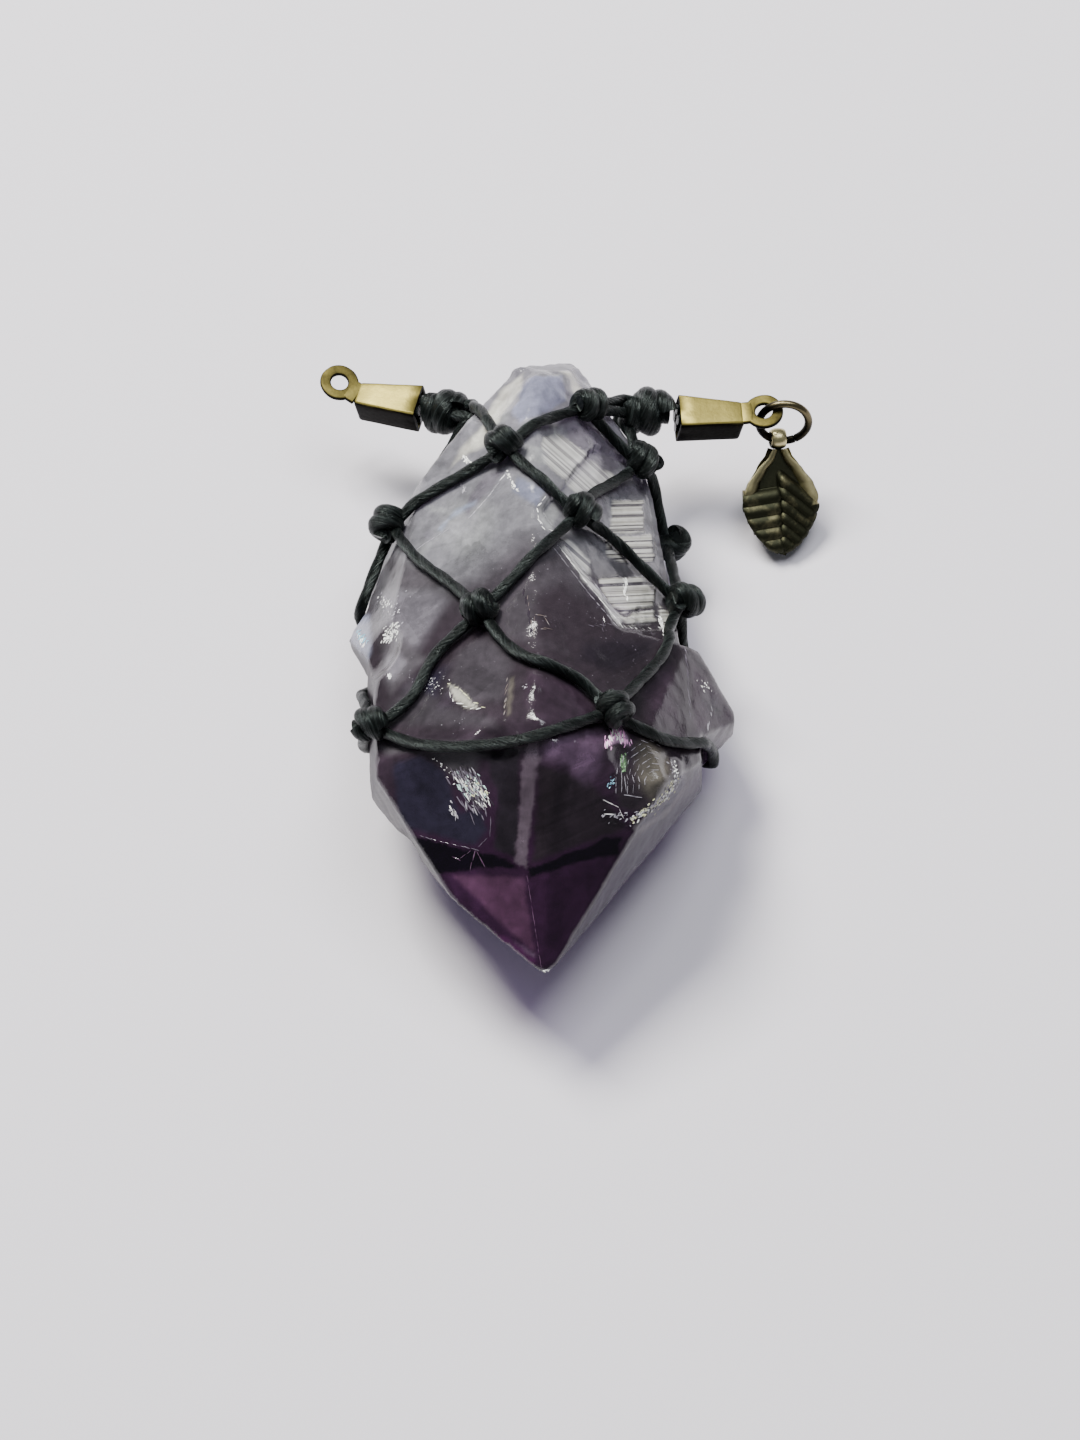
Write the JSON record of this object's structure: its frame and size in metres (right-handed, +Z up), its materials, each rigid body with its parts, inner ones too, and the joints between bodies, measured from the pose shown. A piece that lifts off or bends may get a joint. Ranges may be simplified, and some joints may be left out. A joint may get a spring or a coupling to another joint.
{
  "type": "amethyst pendant",
  "caption": "Raw amethyst point worn as a pendant: the stone hangs in a knotted net of waxed cord with metal cord ends and a leaf charm.",
  "frame": {"origin": "middle of the bounding box on the surface the pendant lies on", "axes": "+Z up, the stone's point looks along -Y, the leaf charm is on the +X side"},
  "size_m": [0.0378, 0.0518, 0.0207],
  "materials": {
    "amethyst": "natural crystal faces, milky at the broken root and purple at the point",
    "waxed_cord": "waxed, half gloss",
    "antique_brass": "antiqued, matt",
    "dark_wire": "oxidised nearly black"
  },
  "bodies": {
    "root": {"stone": "amethyst", "front_knot_1": "waxed_cord", "front_knot_2": "waxed_cord", "front_knot_3": "waxed_cord", "front_knot_4": "waxed_cord", "front_knot_5": "waxed_cord", "front_knot_6": "waxed_cord", "front_knot_7": "waxed_cord", "front_knot_8": "waxed_cord", "front_knot_9": "waxed_cord", "front_knot_10": "waxed_cord", "back_knot_1": "waxed_cord", "back_knot_2": "waxed_cord", "back_knot_3": "waxed_cord", "back_knot_4": "waxed_cord", "back_knot_5": "waxed_cord", "back_knot_6": "waxed_cord", "back_knot_7": "waxed_cord", "back_knot_8": "waxed_cord", "net_cord_1": "waxed_cord", "net_cord_2": "waxed_cord", "net_cord_3": "waxed_cord", "net_cord_4": "waxed_cord", "net_cord_5": "waxed_cord", "net_cord_6": "waxed_cord", "net_cord_7": "waxed_cord", "net_cord_8": "waxed_cord", "net_rim": "waxed_cord", "gather_knot_left": "waxed_cord", "gather_knot_right": "waxed_cord", "cord_ends_left": "waxed_cord", "cord_ends_right": "waxed_cord", "crimp_left": "antique_brass", "crimp_right": "antique_brass", "jump_ring": "dark_wire", "leaf_charm": "antique_brass"}
  },
  "joints": []
}
